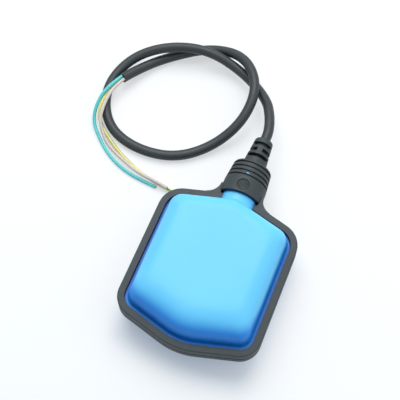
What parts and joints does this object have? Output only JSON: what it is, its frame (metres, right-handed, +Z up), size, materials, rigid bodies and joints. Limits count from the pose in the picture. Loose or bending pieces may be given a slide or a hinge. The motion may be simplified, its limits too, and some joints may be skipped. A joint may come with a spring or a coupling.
{
  "type": "float level switch",
  "caption": "Flat hollow two-shell tank float with overmoulded rim, ribbed neck, strain relief and three-core cable; a rolling ball works the microswitch inside when the float tilts.",
  "frame": {"origin": "under the middle of float, neck and strain relief, on the surface that the float lies on", "axes": "+Z up through the float's thin side, +Y from the float's tip to its cable, +X to the right seen from above"},
  "size_m": [0.173, 0.2254, 0.043],
  "materials": {
    "blue_polypropylene": "moulded polypropylene, satin gloss",
    "black_elastomer": "moulded thermoplastic elastomer, matte charcoal",
    "black_cable_rubber": "extruded rubber jacket, satin black",
    "blue_insulation": "PVC core insulation, blue green",
    "brown_insulation": "PVC core insulation, pale brown",
    "earth_insulation": "PVC core insulation, green and yellow stripes",
    "grey_nylon": "moulded nylon, pale grey",
    "zinc_plated_steel": "zinc plated steel",
    "ball_steel": "polished bearing steel",
    "black_phenolic": "moulded phenolic, black",
    "red_plunger_plastic": "acetal, red",
    "spring_steel": "stainless spring steel",
    "contact_brass": "rolled brass",
    "tinned_brass": "tinned brass",
    "amber_resin": "cast epoxy resin, dark amber"
  },
  "bodies": {
    "float_body": {"upper_shell": "blue_polypropylene", "lower_shell": "blue_polypropylene", "rim_overmould": "black_elastomer", "strain_relief": "black_cable_rubber", "cable": "black_cable_rubber", "wire_blue": "blue_insulation", "wire_brown": "brown_insulation", "wire_earth": "earth_insulation", "switch_carrier": "grey_nylon", "carrier_cover": "grey_nylon", "carrier_screws": "zinc_plated_steel", "cover_screws": "zinc_plated_steel", "switch_base": "black_phenolic", "switch_cover": "black_phenolic", "switch_screws": "zinc_plated_steel", "lever_pin": "spring_steel", "common_terminal": "contact_brass", "open_terminal": "contact_brass", "closed_terminal": "contact_brass", "tab_receptacles": "tinned_brass", "lead_common": "brown_insulation", "lead_open": "blue_insulation", "lead_closed": "earth_insulation", "potting_plug": "amber_resin"},
    "ball": {"steel_ball": "ball_steel"},
    "lever": {"actuator_lever": "spring_steel"},
    "plunger": {"switch_plunger": "red_plunger_plastic"},
    "blade": {"snap_blade": "contact_brass"}
  },
  "joints": [
    {"name": "ball_roll", "type": "slide", "parent": "float_body", "child": "ball", "axis": [0, 1, 0], "range_m": [0, 0.02]},
    {"name": "lever_swing", "type": "hinge", "parent": "float_body", "child": "lever", "pos_m": [-0.0115, -0.0137, 0.0215], "axis": [0, 0, 1], "range_deg": [0, 12]},
    {"name": "plunger_press", "type": "slide", "parent": "float_body", "child": "plunger", "axis": [0, 1, 0], "range_m": [0, 0.00106]},
    {"name": "blade_snap", "type": "hinge", "parent": "float_body", "child": "blade", "pos_m": [-0.0066, -0.0045, 0.0215], "axis": [0, 0, 1], "range_deg": [0, 3.8]}
  ],
  "couplings": [
    {"joint": "lever_swing", "follows": "ball_roll", "rad_per_m": 10.472},
    {"joint": "plunger_press", "follows": "ball_roll", "ratio": 0.053},
    {"joint": "blade_snap", "follows": "ball_roll", "rad_per_m": 3.3161}
  ]
}
